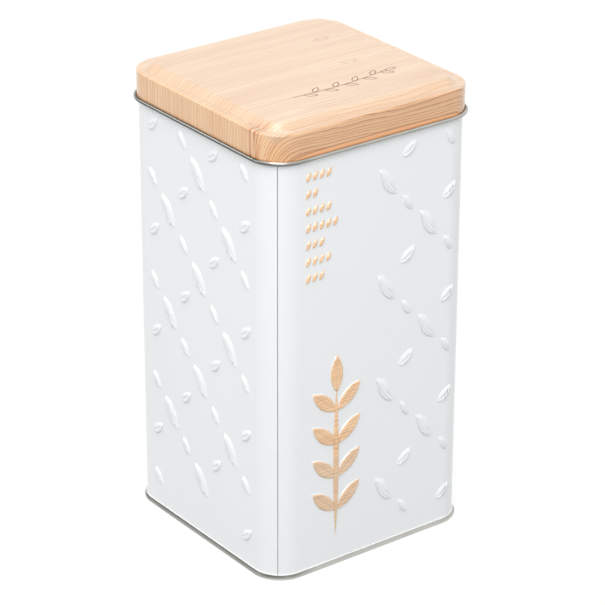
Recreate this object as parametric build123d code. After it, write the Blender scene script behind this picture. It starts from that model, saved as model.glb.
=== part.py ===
from build123d import *

import math
import os

# Square tinplate canister for loose tea: body wall, seamed base plate and lift-off lid.
# Millimetres, +Z up. The origin is the middle of the surface that the canister stands on.
# -Y is the front, with the sprig; -X is the side with leaves all over it.

# Sheet, in three separate pieces
body_sheet = 0.3
base_sheet = 0.25
lid_sheet = 0.3

# Body wall
body_width = 76.0
body_depth = 76.0
body_height = 147.85
corner_radius = 9.4
rim_curl_radius = 0.75
rim_curl_turn = 270.0

# Flare of the body wall into the base seam
flare_top = 3.1
flare_foot = 2.2
flare_radius = 0.5

# Base seam and base plate
seam_reach = 0.8
seam_height = 1.8
seam_fit = 0.03
heel_gap = 0.15
foot_bend = 0.35
base_recess = 3.2
base_bend = 0.6
base_border = 2.5

# Lock seam down the front left corner
seam_turn_from_corner = 4.0
seam_strip_width = 2.6
seam_strip_thickness = 0.6
seam_strip_drop = 0.4
seam_line_width = 0.25
seam_line_depth = 0.12

# Lid
lid_clearance = 0.3
lid_seat_gap = 0.3
lid_skirt_depth = 9.6
lid_shoulder_radius = 0.95
lid_ledge_width = 2.9
lid_slope_width = 2.4
lid_slope_rise = 1.9
lid_slope_bend = 1.2
lid_panel_border = 1.6
bead_radius = 0.75
bead_turn = 290.0

# Leaf relief, on a lattice of columns and rows
relief_height = 0.55
corner_punch_depth = 1.0
column_pitch = 8.0
column_margin = 4.0
row_pitch = 8.7
top_row_drop = 14.25
lowest_leaf = 11.0
front_overhang = 0.06
large_leaf = (11.2, 4.3)
small_leaf = (6.5, 2.9)
cross_leaf = (7.2, 2.9)
falling_angle = -52.0
rising_angle = 37.0
crown_length_share = 0.72
crown_width_share = 0.34
bare_columns = (-1, 1)

# Sprig and rows of grains on the front
sprig_inset = 14.3
sprig_clear_width = 14.0
sprig_foot = 9.0
stem_length = 54.0
stem_width = 2.4
sprig_leaf = (12.6, 4.8)
sprig_top_leaf = (13.0, 5.2)
sprig_leaf_angle = 42.0
sprig_pairs = 4
sprig_pair_start = 10.0
sprig_tip_length = 9.5
grain = (3.5, 1.7)
grain_angle = 62.0
grain_pitch = 2.5
grain_inset = 3.4
grain_row_drop = 14.3
grain_row_pitch = 5.45
grain_counts = (4, 2, 4, 5, 3, 4, 3)

half_width = body_width / 2
flat_half_width = half_width - corner_radius
flat_half_depth = body_depth / 2 - corner_radius
row_count = 1 + int((body_height - top_row_drop - lowest_leaf) / row_pitch)
sprig_x = sprig_inset - flat_half_width
lid_underside = body_height + lid_seat_gap
skirt_centre = half_width + lid_clearance + lid_sheet / 2


def swept_round(section):
    """Carry a section, drawn on the XZ plane at the +X wall, once round the body."""
    half_depth = body_depth / 2
    path = FilletPolyline(
        (half_width, 0),
        (half_width, half_depth),
        (-half_width, half_depth),
        (-half_width, 0),
        radius=corner_radius,
    )
    half = Part()
    for face in section.faces():
        half += sweep(Plane.XZ * face, path=path)
    return half + mirror(half, about=Plane.XZ)


def plate(inset, low, thickness):
    """Flat sheet inside the body's outline, `inset` in from the outer face of the wall."""
    outline = RectangleRounded(
        body_width - 2 * inset,
        body_depth - 2 * inset,
        corner_radius - inset,
    )
    return Pos(0, 0, low) * extrude(outline, amount=thickness)


def pointed_oval(length, width):
    """Leaf outline: two arcs that meet in a point at each end."""
    half = width / 2
    radius = (length**2 / 4 + half**2) / (2 * half)
    tip = (length / 2, 0)
    root = (-length / 2, 0)
    return make_face([RadiusArc(root, tip, radius), RadiusArc(tip, root, radius)])


def punch(length, width, depth):
    """Tapered leaf, of the given length and width at the wall's outer face, `depth` into it."""
    spread = depth / relief_height
    root_length = length * (1 + spread * (1 - crown_length_share))
    root_width = width * (1 + spread * (1 - crown_width_share))
    root = Pos(0, 0, -depth) * pointed_oval(root_length, root_width)
    crown = pointed_oval(length * crown_length_share, width * crown_width_share)
    return loft([root, Pos(0, 0, relief_height) * crown], ruled=True)


def column(outset):
    """Solid column of the body's outline, grown by `outset` all round."""
    outline = RectangleRounded(
        body_width + 2 * outset,
        body_depth + 2 * outset,
        corner_radius + outset,
    )
    return extrude(outline, amount=body_height)


def lattice_leaves(places, start_x, bare_foot=()):
    """Falling chains of large and small leaves, with rising cross leaves between them."""
    leaves = []
    for place in places:
        x = start_x + place * column_pitch
        for row in range(row_count - (place in bare_foot)):
            z = body_height - top_row_drop - row * row_pitch
            step = (row - place) % 4
            between = place % 2 == 1
            if step == 1:
                leaves.append((small_leaf if between else large_leaf, x, z, falling_angle))
            elif step == 3 and between:
                leaves.append((cross_leaf, x, z, rising_angle))
    return leaves


def wall_leaves(flat_half, bare_foot=()):
    """Leaves all over a wall whose flat reaches `flat_half` from its middle."""
    last = int((flat_half - column_margin) / column_pitch)
    return lattice_leaves(range(-last, last + 1), 0, bare_foot)


def front_leaves():
    """Leaves between the sprig and the right edge of the front."""
    right = flat_half_width + front_overhang
    last = int((right - sprig_x - sprig_clear_width) / column_pitch)
    return lattice_leaves(range(last + 1), right - last * column_pitch)


def sprig():
    """Upright sprig: a tapering stem, pairs of leaves and a leaf at the top."""
    pieces = [((stem_length, stem_width), sprig_x, sprig_foot + stem_length / 2, 90)]
    reach = sprig_leaf[0] / 2
    pitch = (stem_length - sprig_pair_start - sprig_tip_length) / (sprig_pairs - 1)
    for pair in range(sprig_pairs):
        root_z = sprig_foot + sprig_pair_start + pair * pitch
        for angle in (sprig_leaf_angle, 180 - sprig_leaf_angle):
            x = sprig_x + reach * math.cos(math.radians(angle))
            z = root_z + reach * math.sin(math.radians(angle))
            pieces.append((sprig_leaf, x, z, angle))
    top = sprig_foot + stem_length + sprig_top_leaf[0] / 4
    pieces.append((sprig_top_leaf, sprig_x, top, 90))
    return pieces


def grain_rows():
    """Column of short rows of slanting grains, flush left."""
    grains = []
    for row, count in enumerate(grain_counts):
        z = body_height - grain_row_drop - row * grain_row_pitch
        for place in range(count):
            x = grain_inset - flat_half_width + place * grain_pitch
            grains.append((grain, x, z, grain_angle))
    return grains


def relief():
    """What the leaves raise outside the wall, and what they leave hollow inside it."""
    half_depth = body_depth / 2
    front = Plane((0, -half_depth, 0), (1, 0, 0), (0, -1, 0))
    left = Plane((-half_width, 0, 0), (0, -1, 0), (-1, 0, 0))
    back = Plane((0, half_depth, 0), (-1, 0, 0), (0, 1, 0))
    right = Plane((half_width, 0, 0), (0, 1, 0), (1, 0, 0))
    walls = [
        (front, flat_half_width, front_leaves() + sprig() + grain_rows()),
        (left, flat_half_depth, wall_leaves(flat_half_depth, bare_columns)),
        (back, flat_half_width, wall_leaves(flat_half_width)),
        (right, flat_half_depth, wall_leaves(flat_half_depth)),
    ]
    shell = column(relief_height) - column(-body_sheet)
    core = column(relief_height - body_sheet)
    proud = []
    dents = []
    for wall, flat_half, leaves in walls:
        for (length, width), x, z, angle in leaves:
            place = wall * Pos(x, z, 0) * Rot(0, 0, angle)
            if abs(x) + length / 2 > flat_half:
                solid = punch(length, width, corner_punch_depth)
                proud.append((place * solid) & shell)
                dents.append((place * Pos(0, 0, -body_sheet) * solid) & core)
            else:
                solid = punch(length, width, body_sheet / 2)
                proud.append(place * solid)
                dents.append(place * Pos(0, 0, -body_sheet) * solid)
    return proud, dents


def body_section():
    """Body wall cut through: curled rim, straight wall, flare and the edge in the seam."""
    wall = half_width - body_sheet / 2
    curl = rim_curl_radius - body_sheet / 2
    curl_z = body_height - rim_curl_radius
    edge = half_width + seam_reach - base_sheet - seam_fit - body_sheet / 2
    rim = CenterArc((wall - curl, curl_z), curl, 0, rim_curl_turn)
    drop = FilletPolyline(
        (wall, curl_z),
        (wall, flare_top),
        (edge, flare_foot),
        (edge, base_sheet + heel_gap),
        radius=flare_radius,
    )
    return trace(rim.edges() + drop.edges(), body_sheet)


def lock_seam():
    """Folded strip inside the front left corner, and the fine line that shows outside."""
    inside = corner_radius - body_sheet
    top = body_height - 2 * rim_curl_radius
    corner = Pos(corner_radius - half_width, corner_radius - body_depth / 2, 0)
    corner *= Rot(0, 0, 225 + seam_turn_from_corner)
    ring = Circle(inside) - Circle(inside - seam_strip_thickness)
    reach = Pos(inside, 0) * Rectangle(4 * seam_strip_thickness, seam_strip_width)
    foot = base_recess + seam_fit
    strip = Pos(0, 0, foot) * extrude(ring & reach, amount=top - seam_strip_drop - foot)
    length = top - flare_top
    line = Pos(corner_radius, 0, flare_top + length / 2)
    line *= Box(2 * seam_line_depth, seam_line_width, length)
    return corner * strip, corner * line


def make_body_wall():
    """One sheet bent square, with its relief, its lock seam, a curled rim and a flared foot."""
    proud, dents = relief()
    strip, line = lock_seam()
    wall = swept_round(body_section()) + strip - line
    wall += proud
    return wall - dents


def make_base_plate():
    """Recessed base with a foot ring, turned up round the flared edge of the body."""
    middle = base_sheet / 2
    hem = half_width + seam_reach - middle
    inner = half_width - body_sheet - seam_fit - middle
    level = base_recess - middle
    border = half_width - base_border
    line = FilletPolyline(
        (hem, seam_height),
        (hem, middle),
        (inner, middle),
        (inner, level),
        (border, level),
        radius=[foot_bend, foot_bend, base_bend],
    )
    rim = swept_round(trace(line.edges(), base_sheet))
    return rim + plate(base_border, level - middle, base_sheet)


def make_lid():
    """Drawn lid: raised panel, sloping shoulder, ledge, skirt and a bead rolled outward."""
    middle = lid_sheet / 2
    roll = bead_radius - middle
    ledge = lid_underside + middle
    panel = ledge + lid_slope_rise
    slope_foot = skirt_centre + middle - lid_ledge_width
    panel_edge = slope_foot - lid_slope_width
    border = panel_edge - lid_panel_border
    roll_z = lid_underside + lid_sheet - lid_skirt_depth + bead_radius
    bead = CenterArc((skirt_centre + roll, roll_z), roll, 180, bead_turn)
    drawn = FilletPolyline(
        (skirt_centre, roll_z),
        (skirt_centre, ledge),
        (slope_foot, ledge),
        (panel_edge, panel),
        (border, panel),
        radius=[lid_shoulder_radius - middle, lid_slope_bend, lid_slope_bend],
    )
    rim = swept_round(trace(bead.edges() + drawn.edges(), lid_sheet))
    return rim + plate(half_width - border, panel - middle, lid_sheet)


os.makedirs("parts", exist_ok=True)
makers = {"body_wall": make_body_wall, "base_plate": make_base_plate, "lid": make_lid}
for name, make in makers.items():
    shape = make()
    shape.label = name
    export_step(shape, f"parts/{name}.step")
    print(name, "solids", len(shape.solids()), "volume", round(shape.volume, 1))
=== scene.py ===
import math

import bpy
import numpy as np
from mathutils import Matrix, Vector
from mathutils.geometry import delaunay_2d_cdt


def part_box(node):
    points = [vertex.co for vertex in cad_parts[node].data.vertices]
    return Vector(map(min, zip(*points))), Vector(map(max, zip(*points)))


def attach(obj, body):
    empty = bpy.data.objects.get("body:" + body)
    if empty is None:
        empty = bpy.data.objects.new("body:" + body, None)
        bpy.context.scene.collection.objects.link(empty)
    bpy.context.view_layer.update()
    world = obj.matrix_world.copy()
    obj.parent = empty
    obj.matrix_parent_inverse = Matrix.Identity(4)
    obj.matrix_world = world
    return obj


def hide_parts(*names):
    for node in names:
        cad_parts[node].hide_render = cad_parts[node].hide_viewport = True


# Looks of the square tea canister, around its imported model. Lengths are in millimetres,
# and MM turns them into Blender's metres when a mesh is made. Names that end in _m, and the
# lamps, are in metres.
MM = 0.001

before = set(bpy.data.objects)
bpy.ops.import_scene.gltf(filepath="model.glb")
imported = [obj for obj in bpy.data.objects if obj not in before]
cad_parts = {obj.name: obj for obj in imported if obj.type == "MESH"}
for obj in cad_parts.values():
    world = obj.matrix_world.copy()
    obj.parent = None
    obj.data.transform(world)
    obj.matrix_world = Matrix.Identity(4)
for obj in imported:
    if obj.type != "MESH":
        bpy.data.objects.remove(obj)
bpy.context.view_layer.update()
body_low, body_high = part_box("body_wall")
lid_low, lid_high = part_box("lid")
_, base_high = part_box("base_plate")

# Sheet and outline
body_sheet = 0.3
base_sheet = 0.25
lid_sheet = 0.3
relief_height = 0.55
half_width = body_high.x / MM - relief_height
body_top = body_high.z / MM
corner_radius = 9.4
corner_steps = 9

# Rim and foot of the body wall
rim_curl_radius = 0.75
rim_curl_turn = 270.0
flare_radius = 0.25
relief_bottom = 2.6

# Base plate
hem_outside = base_high.x / MM
hem_height = 1.66
hem_knee = 0.9
hem_lean = 0.4
foot_bend = 0.35
base_recess = base_high.z / MM
base_bend = 0.6
base_border = 2.5
base_fit = 0.03

# Lid
lid_top = lid_high.z / MM
lid_foot = lid_low.z / MM
bead_radius = 0.65
bead_turn = 272.0
bead_rise = 0.78
bead_overhang = 1.2
skirt_outside = lid_high.x / MM - bead_overhang
lid_shoulder_radius = 0.5
lid_ledge_width = 2.9
lid_slope_width = 2.4
lid_slope_rise = 1.9
lid_slope_bend = 0.8
lid_panel_border = 1.6

# Lock seam beside the front left corner. Its relief sets in and dies out at seam_near and
# seam_far, measured to the right of its line.
seam_turn_from_corner = 4.0
seam_line_width = 0.3
seam_line_depth = 0.2
seam_bare_half = 0.09
seam_ridge_height = 0.06
seam_ridge_offset = 0.42
seam_ridge_width = 0.2
seam_near = (-0.4, -0.35)
seam_far = (1.15, 1.2)
seam_fade = 0.6
seam_strip_width = 2.6
seam_strip_thickness = 0.6
seam_strip_overlap = 0.05
seam_strip_drop = 1.2

# Leaf relief, on a lattice of columns and rows
column_pitch = 8.0
row_pitch = 8.7
row_count = 15
top_row_drop = 14.25
side_columns = 3
front_columns = 3
front_column_start = 4.66
falling_angle = -52.0
rising_angle = 37.0
bare_columns = (-1, 1)

# Sprig and rows of grains on the front
sprig_x = -14.3
sprig_foot = 9.0
stem_length = 54.0
sprig_leaf_angle = 42.0
sprig_pairs = 4
sprig_pair_start = 10.0
sprig_pair_pitch = 11.5
grain_angle = 62.0
grain_pitch = 2.5
grain_start_x = -25.2
grain_row_drop = 14.3
grain_row_pitch = 5.45
grain_counts = (4, 2, 4, 5, 3, 4, 3)

# Twig engraved in the lid
twig_start = (-16.5, -18.5)
twig_end = (19.5, -16.6)
twig_sag = 1.3
twig_leaves = 9
twig_leaf_angle = 38.0
twig_line = 0.34
twig_groove = 0.1

# Wood print, on the flat sheet
ring_pitch = 1.3
wood_knots = ((20.9, 16.9), (15.8, -3.8))
knot_length = 5.0
knot_width = 2.4
foot_band_start = -28.5
foot_band_end = 39.0
foot_band_width = 0.6
foot_band_rise = 1.05
panel_print_edge = (39.0, 37.5)
left_print_edge = (-33.0, -38.5)
front_print_edge = (-36.5, -39.0)

# Camera, from a fit to the photograph's outlines
camera_azimuth = -36.91
camera_elevation = 25.22
camera_roll = 0.17
camera_distance_m = 0.9173
camera_height_m = 0.0718
camera_side_m = 0.00103
camera_focal_px = 2912.8
image_px = 605
sensor_mm = 36.0

# Studio: lamps by azimuth and elevation in degrees, distance and size in metres, and watts
LAMPS = {
    "key": (-42, 46, 0.85, 0.45, 2.8),
    "top": (-78, 76, 1.4, 0.5, 1.9),
    "left": (-112, 8, 1.4, 0.35, 1.1),
    "front": (-22, 12, 1.4, 0.35, 1.6),
    "rim": (-150, 36, 1.4, 0.3, 1.1),
    "back": (140, 50, 1.4, 0.3, 1.0),
}
world_strength = 0.92
floor_half_m = 2.0

# Meshing
facet_bow = 0.4
print_shift = np.array((0.05, -0.05))
ring_depths = (0.0, 0.12, 0.24, 0.36)
ring_steps = 12
bend_steps = 7
curl_steps = 19
bead_steps = 21
strip_columns = 6
twig_steps = 25
row_spacing = 0.34
fill_spacing = 0.42
foot_round = 0.14
crest_round = 0.2
probe = 0.01
weld = 1e-4

flat_half = half_width - corner_radius
face_half = flat_half + corner_radius * math.pi / 4
seam_s = corner_radius * math.radians(seam_turn_from_corner) - face_half
rim_z = body_top - rim_curl_radius
bead_z = lid_foot + bead_rise
FACES = {"back": (0, 1), "left": (-1, 0), "front": (0, -1), "right": (1, 0)}
WHITE, WOOD, TIN, INK, HEM, INSIDE = range(6)


class Kind:
    """Shape of one kind of leaf: half widths of its two sides, and the runs of their slopes.

    `bend` is how far its two ends turn to the upper side. `swell` is how much wider its upper
    and its lower side are at the far end than in the middle, as a share. `easing` is the same
    for the run of its upper slope. `printed` is how wide the unprinted strip along its upper
    left edge is, and 0 where it has no print.
    """

    def __init__(self, length, upper, lower, upper_run, lower_run, veins=(), printed=0.0,
                 bend=(0.0, 0.0), swell=(0.0, 0.0), easing=0.0):
        self.length = length
        self.upper = upper
        self.lower = lower
        self.upper_run = upper_run
        self.lower_run = lower_run
        self.veins = veins
        self.printed = printed
        self.bend = bend
        self.swell = swell
        self.easing = easing


# A vein is its share of the half width, its start and end along the leaf, its depth and width
LARGE = Kind(12.4, 2.1, 2.4, 1.55, 0.3, swell=(-0.4, 0.4), easing=0.4, veins=(
    (-0.56, -0.6, 0.98, 0.2, 0.17),
    (-0.05, 0.0, 1.0, 0.24, 0.18),
    (0.46, 0.15, 1.0, 0.24, 0.19),
))
SMALL = Kind(6.9, 1.3, 1.6, 1.15, 0.32, swell=(-0.35, 0.35), easing=0.35, veins=(
    (-0.45, -0.2, 0.98, 0.17, 0.16),
    (0.2, 0.1, 0.98, 0.17, 0.17),
))
CROSS = Kind(7.4, 1.75, 1.75, 1.2, 0.34, bend=(0.0, 0.6), swell=(-0.2, -0.2),
             veins=((0.0, -0.9, 0.5, 0.28, 0.2),))
STEM = Kind(stem_length, 1.2, 1.2, 0.4, 0.4, printed=ring_depths[1])
SPRIG_LEAF = Kind(12.6, 2.4, 2.4, 0.45, 0.45, veins=((0.0, -0.8, 0.8, 0.22, 0.2),),
                  printed=ring_depths[2])
SPRIG_TOP = Kind(13.0, 2.6, 2.6, 0.45, 0.45, veins=((0.0, -0.8, 0.8, 0.22, 0.2),),
                  printed=ring_depths[2])
GRAIN = Kind(3.5, 0.85, 0.85, 0.4, 0.4, printed=ring_depths[1])
TWIG_LEAF = Kind(4.6, 1.0, 1.0, 0.5, 0.5)


class Leaf:
    """One leaf on a flat drawing, with its own directions along and across."""

    def __init__(self, kind, x, y, angle):
        self.kind = kind
        self.place = np.array((x, y))
        self.angle = math.radians(angle)
        self.half = kind.length / 2
        self.arcs = [self.arc(kind.upper), self.arc(kind.lower)]

    def arc(self, half_width):
        """Radius of a side's arc, and how far its centre is beyond the leaf's axis."""
        radius = (self.half**2 + half_width**2) / (2 * half_width)
        return radius, radius - half_width

    def shift(self, along):
        root, tip = self.kind.bend
        return np.where(along < 0, root, tip) * (along / self.half) ** 2

    def stretch(self, along, across):
        upper, lower = self.kind.swell
        return 1 + np.where(across > 0, upper, lower) * np.clip(along / self.half, -1, 1)

    def local(self, points):
        c, s = math.cos(self.angle), math.sin(self.angle)
        d = points - self.place
        along = d[:, 0] * c + d[:, 1] * s
        across = d[:, 1] * c - d[:, 0] * s - self.shift(along)
        return along, across / self.stretch(along, across)

    def world(self, along, across):
        c, s = math.cos(self.angle), math.sin(self.angle)
        across = across * self.stretch(along, across) + self.shift(along)
        turned = (along * c - across * s, along * s + across * c)
        return self.place + np.stack(turned, axis=-1)

    def side_depths(self, along, across):
        """Distances inside the upper and the lower arc."""
        (upper, up), (lower, low) = self.arcs
        return upper - np.hypot(along, across + up), lower - np.hypot(along, across - low)

    def depth(self, points):
        """Distance inside the outline, negative outside it."""
        return np.minimum(*self.side_depths(*self.local(points)))

    def ring(self, inset):
        """Closed line `inset` inside the outline."""
        (upper, up), (lower, low) = self.arcs
        upper, lower = upper - inset, lower - inset
        tip_y = ((upper**2 - lower**2) - (up**2 - low**2)) / (2 * (low + up))
        tip_x = math.sqrt(max(upper**2 - (tip_y + up) ** 2, 0.0))
        over = math.atan2(tip_y + up, tip_x)
        under = math.atan2(low - tip_y, tip_x)
        top = np.linspace(math.pi - over, over, ring_steps, endpoint=False)
        foot = np.linspace(-under, under - math.pi, ring_steps, endpoint=False)
        along = np.concatenate((upper * np.cos(top), lower * np.cos(foot)))
        across = np.concatenate((upper * np.sin(top) - up, lower * np.sin(foot) + low))
        return self.world(along, across)

    def side_width(self, along, share):
        radius, beyond = self.arcs[0] if share >= 0 else self.arcs[1]
        return np.sqrt(radius**2 - np.minimum(along**2, radius**2)) - beyond

    def fill(self):
        """Points inside the leaf, on lines that follow its outline from tip to tip."""
        rows = max(1, round(max(self.kind.upper, self.kind.lower) / row_spacing))
        along = np.arange(-self.half, self.half, fill_spacing)
        points = []
        for row in range(-rows, rows + 1):
            share = row / (rows + 0.5)
            across = share * self.side_width(along, share)
            points.append(self.world(along, across))
        points = np.concatenate(points)
        return points[self.depth(points) > ring_depths[-1] + row_spacing / 3]

    def relief(self, points):
        """Height of the leaf over the wall: a crowned form with veins pressed into it."""
        along, across = self.local(points)
        upper, lower = self.side_depths(along, across)
        upper_run = self.kind.upper_run * (1 + self.kind.easing * np.clip(along / self.half, -1, 1))
        q = soft_min(rounded_foot(upper) / upper_run, rounded_foot(lower) / self.kind.lower_run)
        q = np.clip(q, 0, 1)
        height = relief_height * q * (1 + facet_bow * (1 - q))
        for share, start, end, depth, width in self.kind.veins:
            line = across - share * self.side_width(along, share)
            ends = smooth_step(along / self.half, start, start + 0.25)
            ends *= 1 - smooth_step(along / self.half, end - 0.15, end)
            height -= depth * np.exp(-((line / width) ** 2)) * ends * q
        return np.maximum(height, 0)


def rounded_foot(depth):
    depth = np.maximum(depth, 0)
    return np.where(depth < foot_round, depth**2 / (2 * foot_round), depth - foot_round / 2)


def soft_min(a, b):
    return (a + b - np.sqrt((a - b) ** 2 + crest_round**2)) / 2


def smooth_step(value, low, high):
    t = np.clip((value - low) / (high - low), 0, 1)
    return t * t * (3 - 2 * t)


# Where the leaves are
def lattice(columns, start_x, bare_foot=()):
    """Falling chains of large and small leaves, with rising cross leaves between them."""
    leaves = []
    for column in columns:
        x = start_x + column * column_pitch
        for row in range(row_count - (column in bare_foot)):
            z = body_top - top_row_drop - row * row_pitch
            step = (row - column) % 4
            between = column % 2 == 1
            if step == 1:
                leaves.append(Leaf(SMALL if between else LARGE, x, z, falling_angle))
            elif step == 3 and between:
                leaves.append(Leaf(CROSS, x, z, rising_angle))
    return leaves


def sprig():
    """Upright sprig: a tapering stem, pairs of leaves and a leaf at the top."""
    leaves = [Leaf(STEM, sprig_x, sprig_foot + stem_length / 2, 90)]
    reach = SPRIG_LEAF.length / 2
    for pair in range(sprig_pairs):
        root_z = sprig_foot + sprig_pair_start + pair * sprig_pair_pitch
        for angle in (sprig_leaf_angle, 180 - sprig_leaf_angle):
            x = sprig_x + reach * math.cos(math.radians(angle))
            z = root_z + reach * math.sin(math.radians(angle))
            leaves.append(Leaf(SPRIG_LEAF, x, z, angle))
    leaves.append(Leaf(SPRIG_TOP, sprig_x, sprig_foot + stem_length + SPRIG_TOP.length / 4, 90))
    return leaves


def grain_rows():
    """Column of short rows of slanting grains, flush left."""
    leaves = []
    for row, count in enumerate(grain_counts):
        z = body_top - grain_row_drop - row * grain_row_pitch
        for place in range(count):
            leaves.append(Leaf(GRAIN, grain_start_x + place * grain_pitch, z, grain_angle))
    return leaves


# Flat drawings, filled with triangles
class Plan:
    """Points and lines of a flat drawing."""

    def __init__(self):
        self.points = []
        self.edges = []

    def dots(self, points):
        self.points.extend(Vector(p) for p in points)

    def line(self, points, closed=False):
        first = len(self.points)
        self.dots(points)
        last = len(self.points) - 1
        self.edges.extend((i, i + 1) for i in range(first, last))
        if closed:
            self.edges.append((last, first))

    def leaf(self, leaf):
        for inset in ring_depths:
            self.line(leaf.ring(inset), closed=True)
        self.dots(leaf.fill())

    def triangles(self):
        found = delaunay_2d_cdt(self.points, self.edges, [], 0, weld)
        points = np.array([tuple(p) for p in found[0]])
        faces = np.array(found[2])
        a, b, c = (points[faces[:, i]] for i in range(3))
        turned = np.cross(b - a, c - a) < 0
        faces[turned] = faces[turned][:, ::-1]
        return points, faces


# Wrapping a drawing round the body
def around(face, s):
    """Foot point, tangent and normal of the body's outline, at `s` to the right on a face."""
    nx, ny = FACES[face]
    rx, ry = -ny, nx
    turn = np.maximum(np.abs(s) - flat_half, 0) / corner_radius
    side = np.sign(s)
    out = np.cos(turn)
    over = np.sin(turn) * side
    normal = np.stack((nx * out + rx * over, ny * out + ry * over, 0 * s), axis=-1)
    tangent = np.stack((-normal[:, 1], normal[:, 0], 0 * s), axis=-1)
    along = np.clip(s, -flat_half, flat_half)
    foot = np.stack((nx * flat_half + rx * along, ny * flat_half + ry * along, 0 * s), axis=-1)
    return foot + corner_radius * normal, tangent, normal


def wrap(face, s, z, height):
    point, _, normal = around(face, s)
    return point + normal * height[:, None] + np.stack((0 * z, 0 * z, z), axis=-1)


def face_stops(extra=()):
    """Places along one face where its meshes have a vertex: the corners' steps and the seam's."""
    turns = np.linspace(0, math.pi / 4, corner_steps) * corner_radius
    stops = np.concatenate((-flat_half - turns, flat_half + turns, np.array(extra, float)))
    return np.unique(np.round(stops, 6))


SEAM_STOPS = tuple(seam_s + offset for offset in (
    seam_near[0], -0.2, -seam_bare_half, 0.0, seam_bare_half, 0.2, 0.4, 0.6, 0.9, seam_far[1],
))
BODY_STOPS = {face: face_stops(SEAM_STOPS if face == "front" else ()) for face in FACES}
PLAIN_STOPS = {face: face_stops() for face in FACES}


class Skin:
    """Patches of one mesh, with a normal at every corner and flat print coordinates."""

    def __init__(self):
        self.points = []
        self.normals = []
        self.prints = []
        self.faces = []
        self.slots = []
        self.count = 0

    def add(self, points, normals, prints, faces, slots):
        self.points.append(points)
        self.normals.append(normals)
        self.prints.append(prints)
        self.faces.extend(tuple(int(i) + self.count for i in face) for face in faces)
        self.slots.extend([slots] * len(faces) if np.isscalar(slots) else list(slots))
        self.count += len(points)

    def build(self, name, body, replaced, materials):
        points = np.concatenate(self.points)
        normals = np.concatenate(self.normals)
        prints = np.concatenate(self.prints)
        key = np.round(points / weld).astype(np.int64)
        _, first, merged = np.unique(key, axis=0, return_index=True, return_inverse=True)
        merged = merged.reshape(-1)
        faces, slots, corner_normals = [], [], []
        for face, index in zip(self.faces, self.slots):
            joined = [int(merged[i]) for i in face]
            kept = [k for k in range(len(face)) if joined[k] != joined[k - 1]]
            if len(kept) > 2:
                faces.append([joined[k] for k in kept])
                slots.append(index)
                corner_normals.extend(normals[face[k]] for k in kept)
        mesh = bpy.data.meshes.new(name)
        mesh.from_pydata(points[first] * MM, [], faces)
        used = sorted(set(slots))
        for index in used:
            mesh.materials.append(materials[index])
        mesh.polygons.foreach_set("material_index", [used.index(i) for i in slots])
        mesh.polygons.foreach_set("use_smooth", [True] * len(faces))
        sheet = mesh.attributes.new("print", "FLOAT_VECTOR", "POINT")
        flat = np.zeros((len(first), 3))
        flat[:, :2] = prints[first]
        sheet.data.foreach_set("vector", flat.ravel())
        mesh.normals_split_custom_set([tuple(n) for n in corner_normals])
        piece = bpy.data.objects.new(name, mesh)
        bpy.context.scene.collection.objects.link(piece)
        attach(piece, body)
        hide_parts(replaced)
        return piece


# Sections: a line through the middle of the sheet, with the outside on its left
def bent_line(points, radii):
    """Points and left normals along straight runs joined by arcs."""
    points = [np.array(p, float) for p in points]
    runs = [(b - a) / np.linalg.norm(b - a) for a, b in zip(points, points[1:])]
    line = [(points[0], runs[0])]
    for corner, came, goes, radius in zip(points[1:], runs, runs[1:], radii):
        turn = math.atan2(came[0] * goes[1] - came[1] * goes[0], came @ goes)
        start = corner - came * radius * math.tan(abs(turn) / 2)
        side = math.copysign(1, turn)
        centre = start + side * radius * left_of(came)
        for angle in np.linspace(0, turn, bend_steps):
            c, s = math.cos(angle), math.sin(angle)
            heading = np.array((came[0] * c - came[1] * s, came[0] * s + came[1] * c))
            line.append((centre - side * radius * left_of(heading), heading))
    line.append((points[-1], runs[-1]))
    return as_section(line)


def left_of(heading):
    return np.array((-heading[1], heading[0]))


def as_section(line):
    points = np.array([p for p, _ in line])
    normals = np.array([left_of(h) for _, h in line])
    return points, normals


def arc_line(centre, radius, start, turn, steps):
    """Arc by degrees, counterclockwise where `turn` is positive."""
    angles = np.radians(np.linspace(start, start + turn, steps))
    side = math.copysign(1, turn)
    out = np.stack((np.cos(angles), np.sin(angles)), axis=-1)
    return np.array(centre) + radius * out, -side * out


def join(*sections):
    return tuple(np.concatenate(parts) for parts in zip(*sections))


def run_lengths(points):
    steps = np.linalg.norm(np.diff(points, axis=0), axis=1)
    return np.concatenate(([0.0], np.cumsum(steps)))


def sweep(skin, stops, points, normals, slot, print_start=None, seam=False):
    """Carry a section round the body. Its points are (distance from the middle, height).

    `print_start` is where on the flat sheet the section starts, and `seam` lets the lock seam's
    bare line through.
    """
    lengths = run_lengths(points)
    count = len(points)
    for face in FACES:
        columns, column_normals, column_prints = [], [], []
        for s in stops[face]:
            places = np.full(count, s)
            reach = points[:, 0] - half_width
            _, _, normal = around(face, places)
            columns.append(wrap(face, places, points[:, 1], reach))
            up = np.stack((0 * reach, 0 * reach, normals[:, 1]), axis=-1)
            column_normals.append(normal * normals[:, :1] + up)
            spread = reach if print_start is None else print_start - half_width + lengths
            column_prints.append(wrap(face, places, 0 * reach, spread)[:, :2])
        faces, slots = [], []
        for i in range(len(columns) - 1):
            middle = (stops[face][i] + stops[face][i + 1]) / 2
            bare = seam and face == "front" and abs(middle - seam_s) < seam_bare_half
            for j in range(count - 1):
                a = i * count + j
                faces.append((a, a + 1, a + count + 1, a + count))
                slots.append(TIN if bare else slot)
        skin.add(
            np.concatenate(columns),
            np.concatenate(column_normals),
            np.concatenate(column_prints),
            faces,
            slots,
        )


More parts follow.
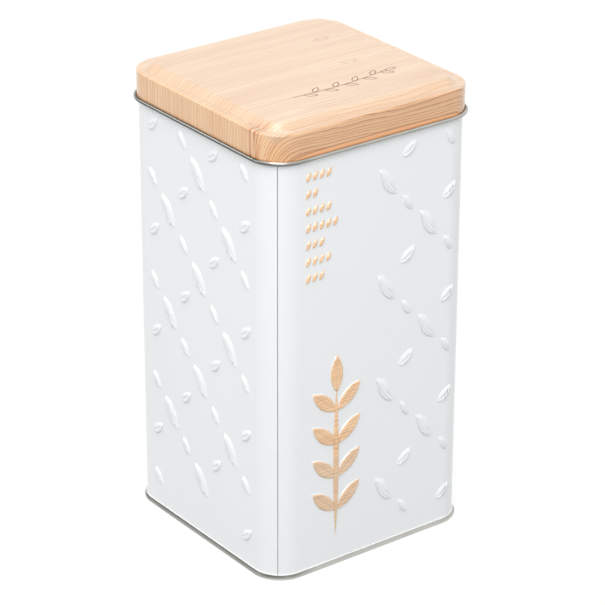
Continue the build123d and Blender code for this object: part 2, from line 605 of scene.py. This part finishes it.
def sheet_sweep(skin, stops, section, sheet, outside, inside, start_cap, end_cap, **more):
    """Both sides of a bent sheet, and its cut edges where they show."""
    points, normals = section
    out = points + normals * sheet / 2
    back = points - normals * sheet / 2
    sweep(skin, stops, out, normals, outside, **more)
    sweep(skin, stops, back[::-1], -normals[::-1], inside)
    for cap, index, flip in ((start_cap, 0, -1), (end_cap, -1, 1)):
        if cap:
            heading = flip * np.array((normals[index][1], -normals[index][0]))
            ends = [out[index], back[index]][::flip]
            sweep(skin, stops, np.array(ends), np.array((heading, heading)), inside)


# Body wall
def wall_height(face, leaves, points):
    """Height of the outside over the plain wall: the leaves, and the lock seam's line."""
    height = np.zeros(len(points))
    for leaf in leaves:
        near = np.flatnonzero(np.hypot(*(points - leaf.place).T) < leaf.half + 1)
        height[near] = np.maximum(height[near], leaf.relief(points[near]))
    if face == "front":
        away = points[:, 0] - seam_s
        line = -seam_line_depth * np.exp(-((away / (seam_line_width / 2)) ** 2))
        ridge = np.exp(-(((away - seam_ridge_offset) / seam_ridge_width) ** 2))
        ridge = seam_ridge_height * ridge
        ends = smooth_step(points[:, 1], relief_bottom, relief_bottom + seam_fade)
        ends *= 1 - smooth_step(points[:, 1], rim_z - seam_fade, rim_z)
        near = smooth_step(away, *seam_near) * (1 - smooth_step(away, *seam_far))
        height += (line + ridge) * ends * near
    return height


def wall_panel(skin, face, leaves):
    """One face of the body wall, outside and inside, with its leaves pressed through it."""
    plan = Plan()
    stops = BODY_STOPS[face]
    edge = [(s, relief_bottom) for s in stops] + [(s, rim_z) for s in stops[::-1]]
    plan.line(edge, closed=True)
    for s in stops[1:-1]:
        plan.line([(s, relief_bottom), (s, rim_z)])
    if face == "front":
        for z in (relief_bottom + seam_fade / 2, relief_bottom + seam_fade, rim_z - seam_fade):
            plan.line([(SEAM_STOPS[0], z), (SEAM_STOPS[-1], z)])
    for leaf in leaves:
        plan.leaf(leaf)
    points, faces = plan.triangles()
    height = wall_height(face, leaves, points)
    slopes = []
    for axis in range(2):
        step = np.zeros(2)
        step[axis] = probe
        rise = wall_height(face, leaves, points + step) - wall_height(face, leaves, points - step)
        slopes.append(rise / (2 * probe))
    s, z = points.T
    _, tangent, normal = around(face, s)
    tilted = normal - tangent * slopes[0][:, None]
    tilted[:, 2] -= slopes[1]
    tilted /= np.linalg.norm(tilted, axis=1)[:, None]
    middle = points[faces].mean(axis=1)
    printed = np.zeros(len(faces), bool)
    for leaf in leaves:
        if leaf.kind.printed:
            depth = leaf.depth(middle)
            nearer = leaf.depth(middle + print_shift) > depth
            printed |= depth > np.where(nearer, leaf.kind.printed, 0)
    slots = np.where(printed, WOOD, WHITE)
    if face == "front":
        bare = (np.abs(middle[:, 0] - seam_s) < seam_bare_half) & (middle[:, 1] < rim_z - seam_fade)
        slots[bare] = TIN
    skin.add(wrap(face, s, z, height), tilted, points, faces, slots)
    skin.add(wrap(face, s, z, height - body_sheet), -tilted, points, faces[:, ::-1], INSIDE)


def seam_strip(skin):
    """Folded strip of the lock seam, inside the front left corner."""
    half = seam_strip_width / 2
    s_stops = np.linspace(seam_s - half, seam_s + half, strip_columns)
    low, high = relief_bottom, rim_z - seam_strip_drop
    outer, inner = -body_sheet + seam_strip_overlap, -body_sheet - seam_strip_thickness
    corners = np.array([(inner, low), (inner, high), (outer, high), (outer, low)])
    columns = [wrap("front", np.full(4, s), corners[:, 1], corners[:, 0]) for s in s_stops]
    points = np.concatenate(columns)
    no_print = np.zeros((len(points), 2))
    _, _, normal = around("front", s_stops)
    ends = (columns[0][::-1], columns[-1])
    for side in range(4):
        after = (side + 1) % 4
        faces = []
        for i in range(strip_columns - 1):
            here, ahead = 4 * i, 4 * (i + 1)
            faces.append((here + side, here + after, ahead + after, ahead + side))
        flat = {0: -1, 2: 1}.get(side)
        if flat:
            normals = np.repeat(flat * normal, 4, axis=0)
        else:
            normals = np.tile((0.0, 0.0, 1.0 if side == 1 else -1.0), (len(points), 1))
        skin.add(points, normals, no_print, faces, INSIDE)
    for end in ends:
        across = np.cross(end[1] - end[0], end[2] - end[1])
        across /= np.linalg.norm(across)
        skin.add(end, np.tile(across, (4, 1)), no_print[:4], [(0, 1, 2, 3)], INSIDE)


def make_body_wall(materials):
    skin = Skin()
    side = range(-side_columns, side_columns + 1)
    front = lattice(range(front_columns + 1), front_column_start) + sprig() + grain_rows()
    wall_panel(skin, "front", front)
    wall_panel(skin, "left", lattice(side, 0, bare_columns))
    wall_panel(skin, "back", lattice(side, 0))
    wall_panel(skin, "right", lattice(side, 0))
    middle = half_width - body_sheet / 2
    curl = rim_curl_radius - body_sheet / 2
    rim = arc_line((middle - curl, rim_z), curl, rim_curl_turn, -rim_curl_turn, curl_steps)
    sheet_sweep(skin, BODY_STOPS, rim, body_sheet, WHITE, INSIDE, True, False)
    behind = (base_sheet + body_sheet) / 2 + base_fit
    edge = hem_outside - base_sheet / 2 - behind
    lean = math.atan2(hem_lean, hem_height - hem_knee)
    knee = hem_knee - behind * math.tan(lean / 2)
    top = knee + (edge - middle) / math.tan(lean)
    foot = bent_line(
        [(middle, relief_bottom), (middle, top), (edge, knee), (edge, body_low.z / MM)],
        (flare_radius, flare_radius),
    )
    sheet_sweep(skin, BODY_STOPS, foot, body_sheet, WHITE, INSIDE, False, True, seam=True)
    seam_strip(skin)
    skin.build("body_wall_shell", "canister", "body_wall", materials)


# Flat middles of the lid and the base
def unmarked(points):
    """Groove of a sheet that has no marks."""
    return np.zeros(len(points))


def disc(skin, reach, z, sheet, outside, inside, marks=(), groove=unmarked):
    """Both sides of the flat middle of a sheet, `reach` from the axis, with engraved marks."""
    plan = Plan()
    rim = [wrap(face, PLAIN_STOPS[face], 0 * PLAIN_STOPS[face],
                np.full(len(PLAIN_STOPS[face]), reach - half_width))[:-1, :2] for face in FACES]
    plan.line(np.concatenate(rim), closed=True)
    for mark in marks:
        plan.line(mark, closed=True)
    points, faces = plan.triangles()
    depth = groove(points)
    cut = groove(points[faces].mean(axis=1)) > 0
    for sign, slot in ((1, outside), (-1, inside)):
        up = sign * (1 if outside_is_up(z) else -1)
        level = z + up * sheet / 2
        lower = -depth if up > 0 and sign > 0 else 0 * depth
        solid = np.stack((points[:, 0], points[:, 1], level + lower), axis=-1)
        normals = np.tile((0.0, 0.0, float(up)), (len(points), 1))
        turned = faces if up > 0 else faces[:, ::-1]
        slots = np.where(cut, INK, slot) if sign > 0 else slot
        skin.add(solid, normals, points, turned, slots)


def outside_is_up(z):
    return z > body_top / 2


# Base plate
def make_base_plate(materials):
    skin = Skin()
    middle = base_sheet / 2
    hem = hem_outside - middle
    inner = half_width - body_sheet - base_fit - middle
    level = base_recess - middle
    border = half_width - base_border
    turned_up = bent_line(
        [(hem - hem_lean, hem_height), (hem, hem_knee), (hem, middle), (inner, middle), (inner, level),
         (border, level)],
        (foot_bend, foot_bend, foot_bend, base_bend),
    )
    sheet_sweep(skin, PLAIN_STOPS, turned_up, base_sheet, HEM, INSIDE, True, False)
    disc(skin, border, level, base_sheet, HEM, INSIDE)
    skin.build("base_plate_shell", "canister", "base_plate", materials)


# Lid
def twig():
    """Lines of an outlined twig, and how deep the graver goes at a point of the panel."""
    start, end = np.array(twig_start), np.array(twig_end)
    steps = np.linspace(0, 1, twig_steps)
    stem = start + (end - start) * steps[:, None]
    stem[:, 1] -= twig_sag * np.sin(math.pi * steps)
    leaves = []
    run = math.degrees(math.atan2(*(end - start)[::-1]))
    for place in range(twig_leaves):
        share = (place + 1) / (twig_leaves + 0.5)
        root = np.array([np.interp(share, steps, stem[:, i]) for i in range(2)])
        side = 1 if place % 2 else -1
        angle = run + side * twig_leaf_angle
        heading = np.array((math.cos(math.radians(angle)), math.sin(math.radians(angle))))
        leaves.append(Leaf(TWIG_LEAF, *(root + heading * TWIG_LEAF.length / 2), angle))
    leaves.append(Leaf(TWIG_LEAF, *(end + (TWIG_LEAF.length / 2, 0)), run))
    half = twig_line / 2
    marks = [leaf.ring(inset) for leaf in leaves for inset in (0, half, twig_line)]
    marks.append(np.concatenate((stem + (0, half), stem[::-1] - (0, half))))

    def groove(points):
        cut = np.full(len(points), -1.0)
        for leaf in leaves:
            depth = leaf.depth(points)
            cut = np.maximum(cut, np.minimum(depth, twig_line - depth))
        level = np.interp(points[:, 0], stem[:, 0], stem[:, 1])
        inside = (points[:, 0] > stem[0, 0]) & (points[:, 0] < stem[-1, 0])
        cut = np.maximum(cut, np.where(inside, half - np.abs(points[:, 1] - level), -1.0))
        return twig_groove * np.clip(cut / half, 0, 1)

    return marks, groove


def lid_sections():
    """Middle line of the lid from its panel's border to the foot of its skirt, and its bead."""
    middle = lid_sheet / 2
    skirt = skirt_outside - middle
    panel = lid_top - middle
    ledge = panel - lid_slope_rise
    slope_foot = skirt_outside - lid_ledge_width
    panel_edge = slope_foot - lid_slope_width
    border = panel_edge - lid_panel_border
    roll = bead_radius - middle
    drawn = bent_line(
        [(border, panel), (panel_edge, panel), (slope_foot, ledge), (skirt, ledge), (skirt, bead_z)],
        (lid_slope_bend, lid_slope_bend, lid_shoulder_radius - middle),
    )
    bead = arc_line((skirt + roll, bead_z), roll, 180, bead_turn, bead_steps)
    return drawn, bead


def make_lid(materials):
    skin = Skin()
    drawn, bead = lid_sections()
    border, panel = drawn[0][0]
    sheet_sweep(skin, PLAIN_STOPS, join(drawn, bead), lid_sheet, WOOD, TIN, False, True,
                print_start=border)
    marks, groove = twig()
    disc(skin, border, panel, lid_sheet, WOOD, INSIDE, marks=marks, groove=groove)
    skin.build("lid_shell", "lid", "lid", materials)


# Materials
class Paint:
    """A material's node tree, with a short way to add nodes and link them."""

    def __init__(self, name):
        self.material = bpy.data.materials.new(name)
        self.material.use_nodes = True
        self.tree = self.material.node_tree
        self.shader = self.tree.nodes["Principled BSDF"]

    def node(self, kind, inputs=(), output=0, **settings):
        made = self.tree.nodes.new("ShaderNode" + kind)
        for key, value in settings.items():
            setattr(made, key, value)
        for key, value in dict(inputs).items():
            self.put(made.inputs[key], value)
        return made.outputs[output]

    def put(self, socket, value):
        if isinstance(value, bpy.types.NodeSocket):
            self.tree.links.new(value, socket)
        else:
            socket.default_value = value

    def set(self, **values):
        for key, value in values.items():
            self.put(self.shader.inputs[key.replace("_", " ")], value)

    def math(self, operation, *values, clamp=False):
        return self.node("Math", dict(enumerate(values)), operation=operation, use_clamp=clamp)

    def sum(self, first, *others, clamp=False):
        for other in others:
            first = self.math("ADD", first, other, clamp=clamp)
        return first

    def split(self, vector):
        made = self.tree.nodes.new("ShaderNodeSeparateXYZ")
        self.put(made.inputs[0], vector)
        return tuple(made.outputs)

    def spread(self, value, low, high, to_low=0.0, to_high=1.0):
        """Line up `low` and `high` with two results, and stay between them."""
        return self.node("MapRange", {"Value": value, "From Min": low, "From Max": high,
                                      "To Min": to_low, "To Max": to_high})

    def noise(self, vector, scale, detail=2.0, roughness=0.5):
        return self.node("TexNoise", {"Vector": vector, "Scale": scale, "Detail": detail,
                                      "Roughness": roughness})

    def stretched(self, vector, scale, offset=(0, 0, 0)):
        return self.node("Mapping", {"Vector": vector, "Scale": scale, "Location": offset})

    def ramp(self, value, *stops):
        made = self.tree.nodes.new("ShaderNodeValToRGB")
        self.put(made.inputs[0], value)
        elements = made.color_ramp.elements
        while len(elements) < len(stops):
            elements.new(0.5)
        for element, (position, colour) in zip(elements, stops):
            element.position = position
            element.color = (*colour, 1) if len(colour) == 3 else colour
        return made.outputs[0]

    def grey_ramp(self, value, *stops):
        return self.ramp(value, *((p, (g, g, g)) for p, g in stops))

    def mix(self, factor, a, b, blend="MIX"):
        made = self.tree.nodes.new("ShaderNodeMix")
        made.data_type = "RGBA"
        made.blend_type = blend
        for key, value in ((0, factor), (6, a), (7, b)):
            self.put(made.inputs[key], (*value, 1) if isinstance(value, tuple) else value)
        return made.outputs[2]

    def bump(self, height, strength, distance):
        made = {"Height": height, "Strength": strength, "Distance": distance}
        self.set(Normal=self.node("Bump", made))


def object_place(paint):
    return paint.node("TexCoord", output=3)


def white_enamel():
    paint = Paint("white_enamel")
    place = object_place(paint)
    cloud = paint.noise(place, 22.0, 1.0)
    colour = paint.ramp(cloud, (0.2, (0.822, 0.843, 0.853)), (0.8, (0.836, 0.855, 0.866)))
    # Painted shade: the enamel is made up to 8 % darker towards +X, over the whole right face.
    right = paint.spread(paint.split(place)[0], 0.029, 0.038)
    paint.set(
        Base_Color=paint.mix(right, colour, (0.92, 0.925, 0.93), "MULTIPLY"),
        Roughness=paint.grey_ramp(paint.noise(place, 90.0, 3.0), (0.3, 0.17), (0.7, 0.24)),
        Coat_Weight=0.5,
        Coat_Roughness=0.07,
    )
    paint.bump(paint.noise(place, 1400.0, 2.0), 0.05, 0.0001)
    return paint.material


def bare_tin(name, shade, roughness, metallic=1.0, low=0.0, high=1.0, right=(), left=(), corner=(),
             end=1.0):
    """Tinplate with rolling streaks; `shade` scales its colour.

    Its darker and lighter lines are painted reflections and painted shade, as shares of its
    colour, at shares of the way up from `low` to `high`: one set on the right, one on the left
    and one at the front left corner. The first and the last value carry on below and above. At
    the far right it has `end` of its colour, as painted shade.
    """
    paint = Paint(name)
    place = object_place(paint)
    x, y, z = paint.split(place)
    streaks = paint.noise(paint.stretched(place, (160.0, 160.0, 2600.0)), 1.0, 3.0)
    cloud = paint.noise(place, 60.0, 3.0)
    tone = paint.mix(0.5, paint.ramp(cloud, (0.3, (0.86, 0.85, 0.78)), (0.7, (1.03, 1.01, 0.95))),
                     paint.ramp(streaks, (0.35, (0.79, 0.79, 0.74)), (0.65, (1.1, 1.09, 1.03))))
    colour = paint.mix(1.0, tone, (shade, shade, shade), "MULTIPLY")
    # Painted reflections and painted shade: lines by height, side and corner, and a darker far right
    # end.
    if right:
        level = paint.spread(z, low * MM, high * MM)
        is_left = paint.math("MULTIPLY", paint.spread(x, -0.022, -0.034),
                             paint.spread(y, 0.037, 0.031))
        is_corner = paint.math("MULTIPLY", is_left, paint.spread(y, -0.030, -0.036))
        lines = paint.mix(is_corner, paint.grey_ramp(level, *left), paint.grey_ramp(level, *corner))
        lines = paint.mix(is_left, paint.grey_ramp(level, *right), lines)
        colour = paint.mix(1.0, colour, lines, "MULTIPLY")
        colour = paint.mix(paint.spread(x, 0.0345, 0.0368), colour, (end, end, end), "MULTIPLY")
    paint.set(
        Base_Color=colour,
        Roughness=paint.grey_ramp(streaks, (0.3, roughness), (0.7, roughness + 0.1)),
        Metallic=metallic,
    )
    paint.bump(streaks, 0.08, 0.0001)
    return paint.material


def wood_knots_near(paint, x, y):
    """Closeness to a knot's middle: 1 there, and 0 well outside."""
    near = 0.0
    for knot_x, knot_y in wood_knots:
        off_x = paint.math("DIVIDE", paint.math("SUBTRACT", x, knot_x), knot_length / 2)
        off_y = paint.math("DIVIDE", paint.math("SUBTRACT", y, knot_y), knot_width / 2)
        away = paint.math("SQRT", paint.sum(paint.math("MULTIPLY", off_x, off_x),
                                            paint.math("MULTIPLY", off_y, off_y)))
        near = paint.math("MAXIMUM", near, paint.spread(away, 1.6, 0.0))
    return near


def late_wood(paint, across):
    """Dark end of each year's ring, unevenly spaced along `across`."""
    spacing = paint.noise(paint.node("CombineXYZ", {"Y": across}), 0.16, 2.0)
    rings = paint.sum(paint.math("DIVIDE", across, ring_pitch), paint.math("MULTIPLY", spacing, 2.6))
    return paint.grey_ramp(paint.math("FRACT", rings), (0.0, 0.0), (0.55, 0.06), (0.8, 0.3),
                           (0.92, 1.0), (1.0, 0.0))


def with_foot_band(paint, colour, x, y):
    """Colour with the reddish band, bowed and dark edged, along the foot of the front skirt."""
    run = paint.spread(x, foot_band_start, foot_band_end)
    bow = paint.math("MULTIPLY", paint.math("SQRT", run), paint.math("SUBTRACT", 1.0, run))
    bow = paint.math("MULTIPLY", bow, 2.6 * foot_band_width)
    band = paint.sum(y, lid_print_reach() - foot_band_rise, paint.math("MULTIPLY", bow, -1.0))
    glow = paint.spread(band, 0.1, -0.1)
    edge = paint.math("MULTIPLY", paint.spread(band, 0.42, 0.25), paint.spread(band, -0.1, 0.05))
    colour = paint.mix(paint.math("MULTIPLY", glow, 0.85), colour, (0.90, 0.49, 0.24))
    return paint.mix(paint.math("MULTIPLY", edge, 0.75), colour, (0.38, 0.15, 0.05))


def wood_print():
    """Light wood with its grain along X, on the flat sheet that the lid is drawn from."""
    paint = Paint("wood_print")
    flat = paint.node("Attribute", output=1, attribute_name="print")
    x, y, _ = paint.split(flat)
    sway = paint.noise(paint.stretched(flat, (0.018, 0.05, 1.0)), 1.0, 2.0)
    ripple = paint.noise(paint.stretched(flat, (0.11, 0.5, 1.0)), 1.0, 2.0)
    across = paint.sum(y, paint.spread(sway, 0.2, 0.8, -2.2, 2.2),
                       paint.spread(ripple, 0.2, 0.8, -0.3, 0.3))
    wavy = paint.sum(y, paint.spread(ripple, 0.2, 0.8, -1.1, 1.1))
    knots = wood_knots_near(paint, x, wavy)
    across = paint.sum(across, paint.math("MULTIPLY", knots, 2.2))
    late = late_wood(paint, across)
    fine = paint.noise(paint.stretched(flat, (0.012, 2.6, 1.0)), 1.0, 4.0, 0.6)
    boards = {"X": paint.math("MULTIPLY", x, 0.012), "Y": paint.math("MULTIPLY", across, 0.2)}
    tone = paint.noise(paint.node("CombineXYZ", boards), 1.0, 2.0)
    colour = paint.ramp(tone, (0.35, (0.78, 0.505, 0.30)), (0.65, (0.84, 0.585, 0.365)))
    pores = paint.grey_ramp(fine, (0.35, 0.3), (0.6, 0.0))
    colour = paint.mix(pores, colour, (0.72, 0.58, 0.44), "MULTIPLY")

    # How much a place belongs to each part of the print, from 0 to 1
    reach = paint.math("MAXIMUM", paint.math("ABSOLUTE", x), paint.math("ABSOLUTE", y))
    panel = paint.spread(reach, *panel_print_edge)
    left = paint.spread(x, *left_print_edge)
    front = paint.spread(y, *front_print_edge)
    corner = paint.math("MULTIPLY", paint.spread(x, -22.0, -30.0), paint.spread(y, -33.0, -38.0))
    streaked = paint.math("MULTIPLY", paint.spread(y, -35.0, -31.0), paint.spread(y, -22.0, -27.0))
    height = paint.split(object_place(paint))[2]
    on_body = paint.spread(height, lid_foot * MM, (lid_foot - 0.5) * MM)

    shares = ((left, 0.2), (front, 0.65), (corner, 0.45), (on_body, 0.15))
    strength = paint.sum(0.3, *(paint.math("MULTIPLY", *share) for share in shares), clamp=True)
    late = paint.math("MULTIPLY", late, strength)
    colour = paint.mix(late, colour, (0.47, 0.23, 0.12), "MULTIPLY")
    red = paint.math("MULTIPLY", streaked, paint.sum(paint.math("MULTIPLY", left, 0.75), 0.15))
    lines = paint.noise(paint.stretched(flat, (0.05, 0.85, 1.0), (0, 3.7, 0)), 1.0, 2.0, 0.6)
    red = paint.math("MULTIPLY", red, paint.grey_ramp(lines, (0.42, 1.0), (0.54, 0.0)))
    colour = paint.mix(red, colour, (0.58, 0.26, 0.09), "MULTIPLY")
    colour = with_foot_band(paint, colour, x, y)
    marks = paint.grey_ramp(knots, (0.25, 0.0), (0.38, 1.0), (0.5, 0.1), (0.9, 0.25))
    colour = paint.mix(paint.math("MULTIPLY", marks, 0.7), colour, (0.62, 0.42, 0.3), "MULTIPLY")
    # Face-by-face tints of the one print: the panel paler and bluer is painted light, the front skirt
    # darker is painted shade, the left skirt is made warmer and the print on the body lighter.
    tints = (
        (panel, (0.895, 0.955, 1.06)),
        (on_body, (1.10, 1.085, 1.03)),
        (left, (1.03, 0.98, 0.9)),
        (front, (0.93, 0.85, 0.76)),
    )
    for where, tint in tints:
        colour = paint.mix(where, colour, tint, "MULTIPLY")
    paint.set(
        Base_Color=colour,
        Roughness=paint.grey_ramp(fine, (0.3, 0.24), (0.7, 0.32)),
        Coat_Weight=0.85,
        Coat_Roughness=0.13,
    )
    paint.bump(fine, 0.04, 0.0001)
    return paint.material


def lid_print_reach():
    """How far from the middle of the flat sheet the foot of the skirt is."""
    points = lid_sections()[0][0]
    return points[0][0] + run_lengths(points)[-1]


def engraved_ink():
    paint = Paint("engraved_line")
    flat = paint.node("Attribute", output=1, attribute_name="print")
    tone = paint.noise(flat, 0.8, 2.0)
    paint.set(
        Base_Color=paint.ramp(tone, (0.3, (0.20, 0.105, 0.06)), (0.7, (0.30, 0.165, 0.10))),
        Roughness=0.45,
    )
    paint.bump(tone, 0.1, 0.0001)
    return paint.material


# Studio
def make_camera():
    azimuth, elevation, roll = (
        math.radians(a) for a in (camera_azimuth, camera_elevation, camera_roll)
    )
    level = math.cos(elevation)
    back = Vector((math.sin(azimuth) * level, -math.cos(azimuth) * level, math.sin(elevation)))
    right = (-back).cross(Vector((0, 0, 1))).normalized()
    up = right.cross(-back)
    side = right * math.cos(roll) + up * math.sin(roll)
    over = up * math.cos(roll) - right * math.sin(roll)
    data = bpy.data.cameras.new("camera")
    data.sensor_fit = "HORIZONTAL"
    data.sensor_width = sensor_mm
    data.lens = camera_focal_px * sensor_mm / image_px
    camera = bpy.data.objects.new("camera", data)
    turn = Matrix((side, over, back)).transposed().to_4x4()
    middle = Vector((0, 0, camera_height_m))
    place = middle + back * camera_distance_m + right * camera_side_m
    camera.matrix_world = Matrix.Translation(place) @ turn
    bpy.context.scene.collection.objects.link(camera)
    bpy.context.scene.camera = camera


def make_lamp(name, azimuth, elevation, distance, size, power):
    """Square lamp that looks at the middle of the canister; angles as for the camera."""
    a, e = math.radians(azimuth), math.radians(elevation)
    back = Vector((math.sin(a) * math.cos(e), -math.cos(a) * math.cos(e), math.sin(e)))
    data = bpy.data.lights.new(name, "AREA")
    data.size = size
    data.energy = power
    lamp = bpy.data.objects.new(name, data)
    lamp.matrix_world = (
        Matrix.Translation(Vector((0, 0, camera_height_m)) + back * distance)
        @ back.to_track_quat("Z", "Y").to_matrix().to_4x4()
    )
    bpy.context.scene.collection.objects.link(lamp)


def make_floor():
    half = floor_half_m
    corners = [(-half, -half, 0), (half, -half, 0), (half, half, 0), (-half, half, 0)]
    mesh = bpy.data.meshes.new("floor")
    mesh.from_pydata(corners, [], [(0, 1, 2, 3)])
    paint = Paint("floor")
    tree = paint.tree
    rays = tree.nodes.new("ShaderNodeLightPath")
    mirrored = paint.math("MAXIMUM", rays.outputs["Is Glossy Ray"], rays.outputs["Is Transmission Ray"])
    seen = paint.math("MAXIMUM", rays.outputs["Is Camera Ray"], mirrored)
    paint.set(Base_Color=paint.mix(seen, (0.3, 0.3, 0.3), (0.95, 0.95, 0.95)), Roughness=0.9,
              Specular_IOR_Level=0.1)
    glow = paint.node("Emission", {"Color": (1, 1, 1, 1), "Strength": 1.0})
    share = paint.math("MULTIPLY", seen, 0.9)
    mixed = paint.node("MixShader", {0: share, 1: paint.shader.outputs[0], 2: glow})
    tree.links.new(mixed, tree.nodes["Material Output"].inputs["Surface"])
    mesh.materials.append(paint.material)
    floor = bpy.data.objects.new("floor", mesh)
    bpy.context.scene.collection.objects.link(floor)


def make_world(strength):
    world = bpy.data.worlds.new("studio")
    world.use_nodes = True
    bpy.context.scene.world = world
    tree = world.node_tree
    rays = tree.nodes.new("ShaderNodeLightPath")
    seen = rays.outputs["Is Camera Ray"]
    for name in ("Is Glossy Ray", "Is Transmission Ray"):
        either = tree.nodes.new("ShaderNodeMath")
        either.operation = "MAXIMUM"
        tree.links.new(seen, either.inputs[0])
        tree.links.new(rays.outputs[name], either.inputs[1])
        seen = either.outputs[0]
    level = tree.nodes.new("ShaderNodeMapRange")
    level.inputs["To Min"].default_value = strength
    level.inputs["To Max"].default_value = 1.0
    tree.links.new(seen, level.inputs["Value"])
    tree.links.new(level.outputs[0], tree.nodes["Background"].inputs["Strength"])
    tree.nodes["Background"].inputs["Color"].default_value = (1, 1, 1, 1)


bpy.context.scene.view_settings.view_transform = "Standard"
make_camera()
materials = {
    WHITE: white_enamel(),
    WOOD: wood_print(),
    # The bead's stops are painted reflections and painted shade: dark, light and dark lines on the
    # left, a painted highlight on top at the front left corner, a darker lower line on the right, and
    # painted shade at its far right end.
    TIN: bare_tin(
        "bare_tinplate", 0.58, 0.16, low=bead_z - bead_radius, high=bead_z + bead_radius,
        right=((0.2, 0.75), (0.5, 0.62), (0.68, 0.95), (0.85, 1.05), (0.95, 0.8)),
        left=((0.0, 0.3), (0.2, 0.2), (0.6, 0.16), (0.74, 0.85), (0.83, 0.6), (0.91, 0.15)),
        corner=((0.1, 0.3), (0.45, 0.32), (0.8, 0.5), (0.93, 1.6)),
        end=0.75,
    ),
    INK: engraved_ink(),
    # The hem's stops are painted shade and a painted highlight: darker towards its top on the left, a
    # painted highlight at its foot at the front left corner, and painted shade at its far right end.
    HEM: bare_tin(
        "satin_tinplate", 0.57, 0.36, low=0.0, high=hem_height,
        right=((0.0, 1.1), (0.3, 1.05), (0.9, 0.92)),
        left=((0.0, 1.1), (0.2, 0.85), (0.5, 0.65), (0.85, 0.34)),
        corner=((0.0, 1.5), (0.3, 1.15), (0.5, 0.7), (0.7, 0.26)),
        end=0.4,
    ),
    INSIDE: bare_tin("inner_tinplate", 0.92, 0.38, metallic=0.6),
}
make_body_wall(materials)
make_base_plate(materials)
make_lid(materials)
make_floor()
make_world(world_strength)
for lamp_name, lamp_values in LAMPS.items():
    make_lamp(lamp_name, *lamp_values)
